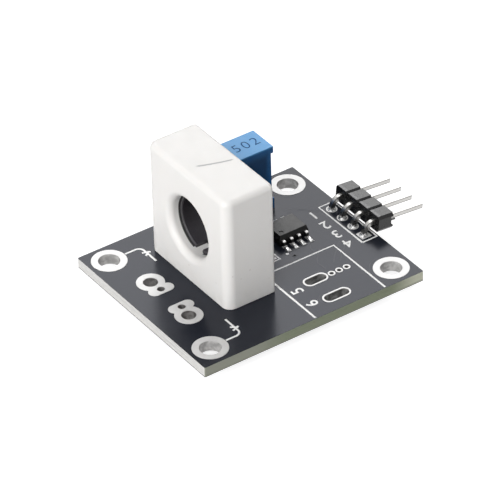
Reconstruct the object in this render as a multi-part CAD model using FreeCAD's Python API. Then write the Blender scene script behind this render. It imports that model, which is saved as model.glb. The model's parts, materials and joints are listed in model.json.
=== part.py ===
import FreeCAD, Part
import math
import os

# Hall effect current sensor module: a square circuit board with a moulded sensor block through
# which a conductor passes, a screw-adjusted trimmer, a comparator chip and a right-angle pin header.
# Millimetres. The origin is the centre of the four mounting holes on the board's underside,
# +X runs towards the pin header, +Y towards the trimmer and +Z up through the components.

# Circuit board
board_length = 36.45
board_width = 31.0
board_thickness = 1.6
board_corner_r = 0.15
plating = 0.05
fit_gap = 0.05

# Mounting holes, plated, set in from the board's edges
mount_inset_x = 3.125
mount_inset_y = 3.2
mount_hole_r = 1.55
mount_ring_r = 2.54

# Bare pads for a heavy current lead: a large and a small hole in one shaped pad, twice
lead_pad_middle_y = 0.1
lead_hole_x = -13.3
lead_hole_offset_y = 4.65
lead_hole_r = 1.05
lead_ring_r = 2.0
lead_small_x = -13.02
lead_small_offset_y = 2.5
lead_small_r = 0.56
lead_lobe_x = -13.05
lead_lobe_offset_y = 2.43
lead_lobe_half = 1.05
lead_lobe_r = 0.92

# Bare slots for a flat terminal, and three small holes beside them
slot_r = 0.75
slot_ring = 0.25
slot_start_x = 4.28
slot_inner_end_x = 6.15
slot_inner_inset = 7.25
slot_outer_end_x = 6.7
slot_outer_inset = 2.7
spare_hole_x = 7.8
spare_hole_inset = 7.08
spare_hole_count = 3
spare_pitch = 1.27
spare_hole_r = 0.32
spare_ring_r = 0.54

# Sensor block: a moulded housing round a slit core, with a Hall device in the slit
sensor_x = -4.75
sensor_y = 2.1
housing_depth = 8.0
housing_width = 18.8
housing_height = 17.9
housing_wall = 1.0
housing_front_wall = 1.9
housing_front_corner_r = 1.4
housing_edge_r = 0.8
housing_foot_r = 0.2
housing_back_edge_r = 0.4
cavity_corner_r = 0.3
window_step = 0.5
window_lip_r = 1.0
core_chamfer = 0.15
core_clearance = 0.15
core_side_room = 0.9
core_back_step = 0.35
core_slit = 1.6
potting_step = 0.55
key_length = 1.8
key_depth = 1.1

# Hall device: a flat three-lead package standing on the housing's floor
hall_width = 4.1
hall_height = 2.5
hall_chamfer = 0.35
hall_lead_pitch = 1.27
hall_lead_width = 0.44
hall_lead_thickness = 0.38
hall_hole_r = 0.4
hall_pad_r = 0.6

# Through-hole joints
tail_length = 1.4
solder_height = 0.9
solder_skin = 0.04
solder_waist_share = 0.3

# Trimmer: a 25-turn cermet type, adjusted from above
trimmer_gap = 1.65
trimmer_back_inset = 1.77
trimmer_length = 9.55
trimmer_depth = 4.83
trimmer_height = 10.03
trimmer_standoff = 0.47
trimmer_foot_size = 1.1
trimmer_wall = 0.5
trimmer_top_wall = 0.8
trimmer_base_thickness = 0.85
trimmer_end_recess = 0.4
trimmer_end_lip = 1.05
trimmer_end_foot = 1.25
trimmer_pin_r = 0.25
trimmer_pin_pitch = 2.54
trimmer_hole_r = 0.4
trimmer_pad_r = 0.75

# The trimmer's works: a screw drives a toothed rotor whose wiper runs on a ceramic plate
screw_from_end = 1.27
screw_head_r = 1.09
screw_head_length = 2.3
screw_proud = 0.6
screw_slot_width = 0.56
screw_slot_depth = 0.76
screw_shank_r = 0.62
screw_chamfer = 0.1
seal_section_r = 0.2
seal_rise = 0.4
guide_wall = 0.4
rotor_teeth = 33
rotor_end_gap = 0.31
rotor_front_gap = 0.2
rotor_tooth_depth = 0.25
tooth_root_share = 0.3
tooth_tip_share = 0.15
rotor_thickness = 1.3
rotor_pivot_r = 0.7
wiper_thickness = 0.25
wiper_width = 0.8
element_thickness = 0.6
element_margin = 0.25
track_inset = 1.0

# Comparator chip: an eight-lead surface-mount package
chip_x = 8.1
chip_y = 2.8
chip_length = 4.9
chip_width = 3.9
chip_height = 1.5
chip_standoff = 0.15
chip_lower_draft = 0.12
chip_upper_draft = 0.24
chip_dimple_r = 0.35
chip_dimple_depth = 0.08
chip_dimple_inset = 0.85
chip_lead_pitch = 1.27
chip_lead_count = 4
chip_lead_width = 0.42
chip_lead_thickness = 0.2
chip_lead_span = 6.0
chip_lead_shoulder = 0.4
chip_lead_bend_r = 0.2
chip_lead_lean = 0.12
chip_pad_width = 0.6
chip_pad_length = 1.55
chip_pad_reach = 0.65

# Small surface-mount parts in the strip between the sensor block and the chip
small_part_length = 1.6
small_part_width = 0.8
small_part_cap = 0.3
small_pad_reach = 0.4
resistor_height = 0.45
capacitor_height = 0.8
resistor_x = 3.3
resistor_y = 0.05
resistor_count = 2
resistor_pitch = 1.6
capacitor_x = 2.5
capacitor_y = 4.9

# Right-angle pin header
header_inset = 1.575
header_y = 0.0
header_pins = 4
header_pitch = 2.54
header_pin_size = 0.64
header_pin_free = 5.9
header_pin_rise = 1.62
header_pin_bend_r = 1.5
header_pin_tip = 0.16
header_droop_deg = 5.0
header_block_gap = 0.075
header_block_depth = 2.5
header_block_height = 2.5
header_notch_width = 0.3
header_notch_depth = 0.42
header_lip = 0.35
header_lip_height = 0.55
header_spur_reach = 0.55
header_spur_size = 0.25
header_hole_r = 0.5
header_pad_r = 0.8

Vec = FreeCAD.Vector
top = board_thickness
edge_x = board_length / 2
edge_y = board_width / 2
mount_x = edge_x - mount_inset_x
mount_y = edge_y - mount_inset_y
slot_ends = ((slot_inner_end_x, slot_inner_inset - edge_y), (slot_outer_end_x, slot_outer_inset - edge_y))
spare_hole_y = spare_hole_inset - edge_y
housing_back_x = sensor_x + housing_depth / 2
housing_front_x = sensor_x - housing_depth / 2
cavity_front_x = housing_front_x + housing_front_wall
core_outer_r = min(housing_height / 2 - core_clearance, housing_width / 2 - core_side_room) - housing_wall
core_inner_r = core_outer_r - (hall_height + fit_gap + key_depth - core_clearance)
window_r = core_inner_r + window_step
slit_y = sensor_y
hall_x = cavity_front_x + fit_gap + hall_width / 2
hall_base_z = top + housing_wall
window_z = hall_base_z + core_clearance + core_outer_r
trimmer_left_x = housing_back_x + trimmer_gap
trimmer_front_y = edge_y - trimmer_back_inset - trimmer_depth
trimmer_x = trimmer_left_x + trimmer_length / 2
trimmer_y = trimmer_front_y + trimmer_depth / 2
trimmer_low_z = top + trimmer_standoff
trimmer_top_z = trimmer_low_z + trimmer_height
trimmer_room_end_x = trimmer_left_x + trimmer_length - trimmer_end_recess - trimmer_wall
rotor_front_y = trimmer_front_y + trimmer_wall + rotor_front_gap
rotor_back_y = rotor_front_y + rotor_thickness
wiper_back_y = rotor_back_y + wiper_thickness
element_front_y = wiper_back_y + fit_gap
element_low_z = trimmer_low_z + trimmer_base_thickness + element_margin
screw_x = trimmer_left_x + screw_from_end
screw_y = rotor_front_y + rotor_thickness / 2
screw_side_x = screw_x + screw_shank_r + fit_gap
rotor_r = (trimmer_room_end_x - rotor_end_gap - screw_side_x) / 2
rotor_x = screw_side_x + rotor_r
track_r = rotor_r - track_inset
rotor_z = trimmer_low_z + (trimmer_base_thickness + trimmer_height - trimmer_top_wall) / 2
screw_guide_z = trimmer_top_z + screw_proud - screw_head_length
resistor_places = [(resistor_x - k * resistor_pitch, resistor_y) for k in range(resistor_count)]
header_x = edge_x - header_inset
header_block_x = edge_x + header_block_gap
header_pin_end_x = header_block_x + header_block_depth + header_pin_free


def block(low, high):
    """A box between two opposite corners."""
    size = [b - a for a, b in zip(low, high)]
    return Part.makeBox(size[0], size[1], size[2], Vec(*low))


def post(x, y, r, low, high):
    """An upright cylinder."""
    return Part.makeCylinder(r, high - low, Vec(x, y, low))


def drum(x0, x1, y, z, r):
    """A cylinder lying along X."""
    return Part.makeCylinder(r, x1 - x0, Vec(x0, y, z), Vec(1, 0, 0))


def disc_y(x, z, r, y0, y1):
    """A cylinder lying along Y."""
    return Part.makeCylinder(r, y1 - y0, Vec(x, y0, z), Vec(0, 1, 0))


def stadium(x0, x1, y, r, low, high):
    """An upright prism with rounded ends, centred on the line from x0 to x1."""
    bar = block((x0, y - r, low), (x1, y + r, high))
    return bar.fuse([post(x0, y, r, low, high), post(x1, y, r, low, high)]).removeSplitter()


def prism(points, along):
    """A polygon's points closed into a face and pushed along a vector."""
    wire = Part.makePolygon(list(points) + [points[0]])
    return Part.Face(wire).extrude(along)


def edges_at(shape, test):
    """The edges whose whole length passes a test on points."""
    picked = []
    for edge in shape.Edges:
        first, last = edge.ParameterRange
        points = [edge.valueAt(first + (last - first) * k / 4) for k in range(5)]
        if all(test(p) for p in points):
            picked.append(edge)
    return picked


def offset_line(points, distance):
    """An open line in the XZ plane moved sideways by a distance, with its corners kept sharp."""
    normals = []
    for a, b in zip(points, points[1:]):
        run = (b - a).normalize()
        normals.append(Vec(-run.z, 0, run.x))
    moved = []
    for k, point in enumerate(points):
        before = normals[max(k - 1, 0)]
        after = normals[min(k, len(normals) - 1)]
        mitre = (before + after).normalize()
        moved.append(point + mitre * (distance / mitre.dot(after)))
    return moved


def rounded_line(points, radii):
    """Edges of an open line whose inner corners are rounded."""
    edges = []
    start = points[0]
    for k in range(1, len(points) - 1):
        corner = points[k]
        back = (points[k - 1] - corner).normalize()
        ahead = (points[k + 1] - corner).normalize()
        half = back.getAngle(ahead) / 2
        reach = radii[k - 1] / math.tan(half)
        first = corner + back * reach
        last = corner + ahead * reach
        bisector = (back + ahead).normalize()
        centre = corner + bisector * (radii[k - 1] / math.sin(half))
        middle = centre - bisector * radii[k - 1]
        edges.append(Part.LineSegment(start, first).toShape())
        edges.append(Part.Arc(first, middle, last).toShape())
        start = last
    edges.append(Part.LineSegment(start, points[-1]).toShape())
    return edges


def bent_strip(points, bend_r, thickness, y0, width):
    """A strip of even thickness bent along a line in the XZ plane, and as wide as stated along Y."""
    half = thickness / 2
    turns = []
    for k in range(1, len(points) - 1):
        a = points[k] - points[k - 1]
        b = points[k + 1] - points[k]
        turns.append(math.copysign(1, a.x * b.z - a.z * b.x))
    left = rounded_line(offset_line(points, half), [bend_r - turn * half for turn in turns])
    right = rounded_line(offset_line(points, -half), [bend_r + turn * half for turn in turns])
    ends = []
    for edge, vertex in ((0, 0), (-1, -1)):
        a = left[edge].Vertexes[vertex].Point
        b = right[edge].Vertexes[vertex].Point
        ends.append(Part.LineSegment(a, b).toShape())
    wire = Part.Wire(Part.__sortEdges__(left + right + ends))
    strip = Part.Face(wire).extrude(Vec(0, width, 0))
    strip.translate(Vec(0, y0, 0))
    return strip


def plate_through(pad, holes):
    """Metal on both faces of the board, joined through its holes by thin barrels."""
    metal = pad(-plating, 0).fuse([pad(top, top + plating)] + [hole(plating, 0, top) for hole in holes])
    for hole in holes:
        metal = metal.cut(hole(0, -1, top + 1))
    return metal.removeSplitter()


def round_hole(x, y, r):
    """A hole's solid as a function of how much it grows and of its height."""
    return lambda grow, low, high: post(x, y, r + grow, low, high)


def slot_hole(x0, x1, y, r):
    """A slot's solid as a function of how much it grows and of its height."""
    return lambda grow, low, high: stadium(x0, x1, y, r + grow, low, high)


def lead_pad_holes(side):
    """The large and the small hole of one lead pad."""
    large = round_hole(lead_hole_x, lead_pad_middle_y + side * lead_hole_offset_y, lead_hole_r)
    small = round_hole(lead_small_x, lead_pad_middle_y + side * lead_small_offset_y, lead_small_r)
    return [large, small]


def lead_pad(side):
    """One lead pad: a disc round the large hole, joined to a lobe round the small one."""
    disc_place = lead_pad_middle_y + side * lead_hole_offset_y
    lobe_place = lead_pad_middle_y + side * lead_lobe_offset_y

    def outline(low, high):
        disc = post(lead_hole_x, disc_place, lead_ring_r, low, high)
        left = lead_lobe_x - lead_lobe_half
        right = lead_lobe_x + lead_lobe_half
        return disc.fuse(stadium(left, right, lobe_place, lead_lobe_r, low, high))

    return plate_through(outline, lead_pad_holes(side))


def mount_places():
    """The centres of the four mounting holes."""
    return [(sx * mount_x, sy * mount_y) for sx in (-1, 1) for sy in (-1, 1)]


def spare_places():
    """The centres of the three small holes beside the slots."""
    return [(spare_hole_x + k * spare_pitch, spare_hole_y) for k in range(spare_hole_count)]


def hall_lead_places():
    """The centres of the Hall device's leads."""
    return [(hall_x + (k - 1) * hall_lead_pitch, slit_y) for k in range(3)]


def trimmer_pin_places():
    """The centres of the trimmer's pins."""
    return [(trimmer_x + (k - 1) * trimmer_pin_pitch, trimmer_y) for k in range(3)]


def header_pin_places():
    """The centres of the header's pins in the board."""
    first = header_y - (header_pins - 1) * header_pitch / 2
    return [(header_x, first + k * header_pitch) for k in range(header_pins)]


def board_holes():
    """Every hole in the board, as functions."""
    holes = [round_hole(x, y, mount_hole_r) for x, y in mount_places()]
    holes += lead_pad_holes(1) + lead_pad_holes(-1)
    holes += [slot_hole(slot_start_x, x, y, slot_r) for x, y in slot_ends]
    holes += [round_hole(x, y, spare_hole_r) for x, y in spare_places()]
    holes += [round_hole(x, y, hall_hole_r) for x, y in hall_lead_places()]
    holes += [round_hole(x, y, trimmer_hole_r) for x, y in trimmer_pin_places()]
    holes += [round_hole(x, y, header_hole_r) for x, y in header_pin_places()]
    return holes


def circuit_board():
    """The laminate, with each hole as wide as the outside of its plating."""
    board = block((-edge_x, -edge_y, 0), (edge_x, edge_y, top))
    upright = edges_at(board, lambda p: abs(abs(p.x) - edge_x) < 1e-6 and abs(abs(p.y) - edge_y) < 1e-6)
    board = board.makeFillet(board_corner_r, upright)
    return board.cut([hole(plating, -1, top + 1) for hole in board_holes()])


def ring(x, y, hole_r, ring_r):
    """A round plated hole with a ring on each face."""
    return plate_through(lambda low, high: post(x, y, ring_r, low, high), [round_hole(x, y, hole_r)])


def slot_ring_piece(end_x, y):
    """A plated slot with an even rim on each face."""
    outline = slot_hole(slot_start_x, end_x, y, slot_r + slot_ring)
    return plate_through(lambda low, high: outline(0, low, high),
                         [slot_hole(slot_start_x, end_x, y, slot_r)])


def header_pads():
    """The header's plated holes: the first pad is square and the others are round."""
    places = header_pin_places()
    x, y = places[0]

    def square(low, high):
        return block((x - header_pad_r, y - header_pad_r, low), (x + header_pad_r, y + header_pad_r, high))

    pads = [plate_through(square, [round_hole(x, y, header_hole_r)])]
    return pads + [ring(px, py, header_hole_r, header_pad_r) for px, py in places[1:]]


def solder_joint(x, y, hole_r, pad_r, pin_r, pin):
    """Solder that fills a plated hole round a pin and draws down to it in a hollow cone."""
    foot = pad_r - fit_gap
    neck = pin_r + solder_skin
    share = solder_waist_share
    low = -plating - solder_height
    rim = Vec(foot, 0, -plating)
    tip = Vec(neck, 0, low)
    waist = Vec(neck + (foot - neck) * share, 0, -plating - solder_height * share)
    profile = [
        Part.LineSegment(Vec(0, 0, low), tip).toShape(),
        Part.Arc(tip, waist, rim).toShape(),
        Part.LineSegment(rim, Vec(hole_r, 0, -plating)).toShape(),
        Part.LineSegment(Vec(hole_r, 0, -plating), Vec(hole_r, 0, top - plating)).toShape(),
        Part.LineSegment(Vec(hole_r, 0, top - plating), Vec(0, 0, top - plating)).toShape(),
        Part.LineSegment(Vec(0, 0, top - plating), Vec(0, 0, low)).toShape(),
    ]
    cone = Part.Face(Part.Wire(profile)).revolve(Vec(0, 0, 0), Vec(0, 0, 1), 360)
    cone.translate(Vec(x, y, 0))
    return cone.cut(pin)


def window_key():
    """The tongue that runs back from the window's lower edge into the core's slit."""
    outer_r = window_z - (hall_base_z + hall_height + fit_gap)
    shell = drum(cavity_front_x, cavity_front_x + key_length, sensor_y, window_z, outer_r)
    shell = shell.cut(drum(cavity_front_x - 1, cavity_front_x + key_length + 1,
                           sensor_y, window_z, window_r))
    half = core_slit / 2 - fit_gap
    strip = block((cavity_front_x, slit_y - half, top),
                  (cavity_front_x + key_length, slit_y + half, window_z))
    return shell.common(strip)


def cavity(back_x):
    """The room inside the housing, from its front wall to a stated depth."""
    half = housing_width / 2 - housing_wall
    low = (cavity_front_x, sensor_y - half, top + housing_wall)
    high = (back_x, sensor_y + half, top + housing_height - housing_wall)
    room = block(low, high)
    lengthwise = edges_at(room, lambda p: min(abs(p.y - low[1]), abs(p.y - high[1])) < 1e-6
                          and min(abs(p.z - low[2]), abs(p.z - high[2])) < 1e-6)
    return room.makeFillet(cavity_corner_r, lengthwise)


def sensor_housing():
    """The moulded block: rounded outside, open behind, with a lipped window in front."""
    half = housing_width / 2
    low = (housing_front_x, sensor_y - half, top)
    high = (housing_back_x, sensor_y + half, top + housing_height)
    shell = block(low, high)
    front_upright = edges_at(shell, lambda p: abs(p.x - low[0]) < 1e-6
                             and abs(abs(p.y - sensor_y) - half) < 1e-6)
    shell = shell.makeFillet(housing_front_corner_r, front_upright)
    for level, rim_r in ((low[2], housing_foot_r), (high[2], housing_edge_r)):
        rim = edges_at(shell, lambda p: abs(p.z - level) < 1e-6)
        rim = [e for e in rim if not all(abs(v.X - high[0]) < 1e-6 for v in e.Vertexes)]
        shell = shell.makeFillet(rim_r, rim)
    shell = shell.makeFillet(housing_back_edge_r, edges_at(shell, lambda p: abs(p.x - high[0]) < 1e-6))
    shell = shell.cut(drum(low[0] - 1, cavity_front_x + 1, sensor_y, window_z, window_r))
    mouth = edges_at(shell, lambda p: abs(p.x - low[0]) < 1e-6
                     and abs(math.hypot(p.y - sensor_y, p.z - window_z) - window_r) < 1e-4)
    shell = shell.makeFillet(window_lip_r, mouth)
    shell = shell.cut(cavity(housing_back_x + 1))
    shell = shell.fuse(window_key()).removeSplitter()
    half_x = hall_lead_width / 2 + fit_gap
    half_y = hall_lead_thickness / 2 + fit_gap
    ways = [block((x - half_x, y - half_y, top - 1), (x + half_x, y + half_y, hall_base_z + 1))
            for x, y in hall_lead_places()]
    reliefs = [post(x, y, hall_pad_r + fit_gap, top - 1, top + plating + fit_gap)
               for x, y in hall_lead_places()]
    return shell.cut(ways + reliefs)


def toroid_core():
    """The pressed core: a ring with chamfered bores, slit at the bottom for the Hall device."""
    back_x = housing_back_x - core_back_step
    core = drum(cavity_front_x, back_x, sensor_y, window_z, core_outer_r)
    core = core.cut(drum(cavity_front_x - 1, back_x + 1, sensor_y, window_z, core_inner_r))
    rims = edges_at(core, lambda p: min(abs(p.x - cavity_front_x), abs(p.x - back_x)) < 1e-6
                    and math.hypot(p.y - sensor_y, p.z - window_z) < core_inner_r + 1e-3)
    core = core.makeChamfer(core_chamfer, rims)
    half = core_slit / 2
    slit = block((cavity_front_x - 1, slit_y - half, top),
                 (back_x + 1, slit_y + half, window_z - core_inner_r / 2))
    return core.cut(slit)


def hall_device():
    """The Hall device's flat body, with two bevelled edges on its marked face."""
    half_x = hall_width / 2
    half_y = core_slit / 2 - fit_gap
    outline = [(-half_x, half_y), (-half_x, hall_chamfer - half_y), (hall_chamfer - half_x, -half_y),
               (half_x - hall_chamfer, -half_y), (half_x, hall_chamfer - half_y), (half_x, half_y)]
    points = [Vec(hall_x + x, slit_y + y, hall_base_z) for x, y in outline]
    return prism(points, Vec(0, 0, hall_height))


def hall_lead(x, y):
    """One flat lead from the Hall device through the housing and the board."""
    half_x = hall_lead_width / 2
    half_y = hall_lead_thickness / 2
    return block((x - half_x, y - half_y, -tail_length), (x + half_x, y + half_y, hall_base_z))


def potting():
    """The resin that fills the housing round the core and stops short of the housing's rim."""
    fill = cavity(housing_back_x - potting_step)
    fill = fill.cut(drum(cavity_front_x - 1, housing_back_x + 1, sensor_y, window_z, core_outer_r))
    return fill.cut([hall_device(), window_key()])


def trimmer_room():
    """The room inside the trimmer's case, open below."""
    low = (trimmer_left_x + trimmer_wall, trimmer_front_y + trimmer_wall, trimmer_low_z - 1)
    high = (trimmer_room_end_x, trimmer_front_y + trimmer_depth - trimmer_wall,
            trimmer_top_z - trimmer_top_wall)
    return low, high


def trimmer_case():
    """The moulded case: a recessed end, two feet, a guide for the screw and a pivot for the rotor."""
    right_x = trimmer_left_x + trimmer_length
    back_y = trimmer_front_y + trimmer_depth
    case = block((trimmer_left_x, trimmer_front_y, trimmer_low_z), (right_x, back_y, trimmer_top_z))
    recess = block((right_x - trimmer_end_recess, trimmer_front_y - 1, trimmer_low_z + trimmer_end_foot),
                   (right_x + 1, back_y + 1, trimmer_top_z - trimmer_end_lip))
    case = case.cut(recess)
    low, high = trimmer_room()
    case = case.cut(block(low, high))
    guide = post(screw_x, screw_y, screw_head_r + fit_gap + guide_wall,
                 screw_guide_z, trimmer_top_z - fit_gap)
    outside = block((trimmer_left_x, trimmer_front_y, trimmer_low_z), (right_x, back_y, trimmer_top_z))
    case = case.fuse(guide.common(outside))
    pivot = disc_y(rotor_x, rotor_z, rotor_pivot_r,
                   trimmer_front_y + trimmer_wall / 2, rotor_back_y - fit_gap)
    case = case.fuse(pivot)
    case = case.cut(post(screw_x, screw_y, screw_head_r + fit_gap, screw_guide_z - 1, trimmer_top_z + 1))
    for x in (trimmer_left_x, right_x - trimmer_foot_size):
        foot = block((x, trimmer_front_y, top), (x + trimmer_foot_size, back_y, trimmer_low_z))
        room = block((low[0], low[1], top - 1), (high[0], high[1], trimmer_low_z))
        case = case.fuse(foot.cut(room))
    return case.removeSplitter()


def trimmer_base():
    """The resin that closes the case round the pins."""
    low, high = trimmer_room()
    base = block((low[0], low[1], trimmer_low_z), (high[0], high[1], trimmer_low_z + trimmer_base_thickness))
    return base.cut([trimmer_pin(x, y) for x, y in trimmer_pin_places()])


def trimmer_pin(x, y):
    """One round pin from the ceramic plate through the base and the board."""
    return post(x, y, trimmer_pin_r, -tail_length, element_low_z)


def adjusting_screw():
    """The slotted brass screw: a head with a groove for the seal, and a plain shank beside the rotor."""
    low_z = trimmer_low_z + trimmer_base_thickness + fit_gap
    head_top = trimmer_top_z + screw_proud
    screw = post(screw_x, screw_y, screw_head_r, screw_guide_z, head_top)
    rim = edges_at(screw, lambda p: abs(p.z - head_top) < 1e-6)
    screw = screw.makeChamfer(screw_chamfer, rim)
    screw = screw.fuse(post(screw_x, screw_y, screw_shank_r, low_z, screw_guide_z)).removeSplitter()
    half = screw_slot_width / 2
    slot = block((screw_x - 2 * screw_head_r, screw_y - half, head_top - screw_slot_depth),
                 (screw_x + 2 * screw_head_r, screw_y + half, head_top + 1))
    return screw.cut([slot, seal_ring(fit_gap / 2)])


def seal_ring(grow):
    """The rubber ring in the screw head's groove, or its groove when it grows."""
    middle_r = screw_head_r + fit_gap / 2 - seal_section_r
    return Part.makeTorus(middle_r, seal_section_r + grow, Vec(screw_x, screw_y, screw_guide_z + seal_rise))


def rotor():
    """The toothed rotor, bored to turn on the case's pivot."""
    step = 2 * math.pi / rotor_teeth
    root = (tooth_root_share, rotor_r - rotor_tooth_depth)
    tip = (tooth_tip_share, rotor_r)
    points = []
    for k in range(rotor_teeth):
        for share, r in ((-root[0], root[1]), (-tip[0], tip[1]), tip, root):
            angle = math.pi + step * (k + share)
            points.append(Vec(rotor_x + r * math.cos(angle), rotor_front_y, rotor_z + r * math.sin(angle)))
    wheel = prism(points, Vec(0, rotor_thickness, 0))
    return wheel.cut(disc_y(rotor_x, rotor_z, rotor_pivot_r + fit_gap, rotor_front_y - 1, rotor_back_y + 1))


def wiper():
    """The sprung contact on the rotor's face, which bridges the ceramic plate's track and its middle."""
    half = wiper_width / 2
    inner_r = rotor_pivot_r + fit_gap
    hub = disc_y(rotor_x, rotor_z, inner_r + wiper_width, rotor_back_y, wiper_back_y)
    arm = block((rotor_x - half, rotor_back_y, rotor_z),
                (rotor_x + half, wiper_back_y, rotor_z + track_r + half))
    return hub.fuse(arm).removeSplitter()


def resistive_plate():
    """The ceramic plate that carries the resistive track, notched clear of the screw's guide."""
    low, high = trimmer_room()
    plate = block((low[0] + fit_gap, element_front_y, element_low_z),
                  (high[0] - fit_gap, element_front_y + element_thickness, high[2] - fit_gap))
    guide_r = screw_head_r + 2 * fit_gap + guide_wall
    notch = block((low[0], element_front_y - 1, screw_guide_z - fit_gap),
                  (screw_x + guide_r, element_front_y + element_thickness + 1, trimmer_top_z))
    return plate.cut(notch)


def chip_body():
    """The moulded chip: drafted above and below its parting line, with a dimple by the first lead."""
    low_z = top + chip_standoff
    part_z = low_z + chip_height / 2
    high_z = low_z + chip_height

    def outline(inset, z):
        x = chip_length / 2 - inset
        y = chip_width / 2 - inset
        corners = [Vec(chip_x + sx, chip_y + sy, z) for sx, sy in ((-x, -y), (x, -y), (x, y), (-x, y))]
        return Part.makePolygon(corners + corners[:1])

    lower = Part.makeLoft([outline(chip_lower_draft, low_z), outline(0, part_z)], True, True)
    upper = Part.makeLoft([outline(0, part_z), outline(chip_upper_draft, high_z)], True, True)
    dimple = post(chip_x - chip_length / 2 + chip_dimple_inset, chip_y - chip_width / 2 + chip_dimple_inset,
                  chip_dimple_r, high_z - chip_dimple_depth, high_z + 1)
    return lower.fuse(upper).removeSplitter().cut(dimple)


def chip_lead(index, side):
    """One gull-wing lead: a shoulder at the parting line, a drop and a foot on its pad."""
    half = chip_lead_thickness / 2
    shoulder_z = top + chip_standoff + chip_height / 2
    foot_z = top + plating + half
    inner = chip_width / 2
    outer = chip_lead_span / 2
    knee = inner + chip_lead_shoulder
    points = [
        Vec(inner, 0, shoulder_z),
        Vec(knee, 0, shoulder_z),
        Vec(knee + chip_lead_lean, 0, foot_z),
        Vec(outer, 0, foot_z),
    ]
    strip = bent_strip(points, chip_lead_bend_r, chip_lead_thickness, -chip_lead_width / 2, chip_lead_width)
    strip.rotate(Vec(0, 0, 0), Vec(0, 0, 1), 90 * side)
    place_x = chip_x + (index - (chip_lead_count - 1) / 2) * chip_lead_pitch
    strip.translate(Vec(place_x, chip_y, 0))
    return strip


def chip_pads():
    """The eight copper pads under the chip's feet."""
    pads = []
    for side in (-1, 1):
        middle_y = chip_y + side * (chip_lead_span / 2 + chip_pad_reach - chip_pad_length / 2)
        for index in range(chip_lead_count):
            x = chip_x + (index - (chip_lead_count - 1) / 2) * chip_lead_pitch
            half_x = chip_pad_width / 2
            half_y = chip_pad_length / 2
            pads.append(block((x - half_x, middle_y - half_y, top),
                              (x + half_x, middle_y + half_y, top + plating)))
    return pads


def small_box(x, y, span, half_width, low_z, high_z, turned):
    """A box about a small part's centre, over a span of its length, which lies along X when turned."""
    a, b = span
    if turned:
        return block((x + a, y - half_width, low_z), (x + b, y + half_width, high_z))
    return block((x - half_width, y + a, low_z), (x + half_width, y + b, high_z))


def small_body(x, y, height, turned):
    """The middle of a small surface-mount part."""
    half = small_part_length / 2 - small_part_cap
    low_z = top + plating
    return small_box(x, y, (-half, half), small_part_width / 2 - fit_gap, low_z, low_z + height, turned)


def small_caps(x, y, height, turned):
    """The two plated ends of a small surface-mount part."""
    outer = small_part_length / 2
    inner = outer - small_part_cap
    low_z = top + plating
    spans = ((-outer, -inner), (inner, outer))
    return [small_box(x, y, span, small_part_width / 2, low_z, low_z + height, turned) for span in spans]


def small_pads(x, y, turned):
    """The two copper pads under a small surface-mount part."""
    outer = small_part_length / 2 + small_pad_reach
    inner = small_part_length / 2 - small_pad_reach
    spans = ((-outer, -inner), (inner, outer))
    return [small_box(x, y, span, small_part_width / 2 + plating, top, top + plating, turned)
            for span in spans]


def header_pin(x, y):
    """One square pin: up through the board, round a wide bend and out past the board's edge."""
    slope = math.tan(math.radians(header_droop_deg))
    level_z = top + header_pin_rise
    corner_z = level_z + slope * (header_block_x - x)
    end_z = level_z - slope * (header_pin_end_x - header_block_x)
    points = [Vec(x, 0, -tail_length), Vec(x, 0, corner_z), Vec(header_pin_end_x, 0, end_z)]
    half = header_pin_size / 2
    pin = bent_strip(points, header_pin_bend_r, header_pin_size, y - half, header_pin_size)
    far = max(pin.Faces, key=lambda face: face.CenterOfMass.x)
    return pin.makeChamfer(header_pin_tip, far.Edges)


def header_block():
    """The header's moulded bar: grooved between pins, with a lipped front and a moulding spur."""
    half_h = header_block_height / 2
    back_x = header_block_x + header_block_depth
    first_y = header_y - header_pins * header_pitch / 2
    upper = []
    lower = []
    for k in range(header_pins):
        left = first_y + k * header_pitch
        right = left + header_pitch
        rows = ((left, half_h - header_notch_depth), (left + header_notch_width, half_h),
                (right - header_notch_width, half_h), (right, half_h - header_notch_depth))
        upper += [(y, z) for y, z in rows if (y, z) not in upper]
        lower += [(y, -z) for y, z in rows if (y, -z) not in lower]
    outline = [Vec(header_block_x, y, z) for y, z in upper + lower[::-1]]
    bar = prism(outline, Vec(header_block_depth, 0, 0))
    end = abs(first_y) + 1
    channel = block((back_x - header_lip, -end, header_lip_height - half_h),
                    (back_x + 1, end, half_h - header_lip_height))
    bar = bar.cut(channel)
    spur_y = first_y + header_notch_width
    spur_half = header_spur_size / 2
    spur = block((back_x - header_lip, spur_y, -spur_half),
                 (back_x + header_spur_reach, spur_y + header_spur_size, spur_half))
    bar = bar.fuse(spur).removeSplitter()
    bar.translate(Vec(0, 0, top + header_pin_rise))
    bar.rotate(Vec(header_block_x, 0, top + header_pin_rise), Vec(0, 1, 0), header_droop_deg)
    return bar.cut([header_pin(x, y) for x, y in header_pin_places()])


def soldered(places, hole_r, pad_r, pin_r, pins):
    """A joint for each pin of a row, whose pins fit in a circle of the stated radius."""
    return [solder_joint(x, y, hole_r, pad_r, pin_r, pin) for (x, y), pin in zip(places, pins)]


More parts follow.
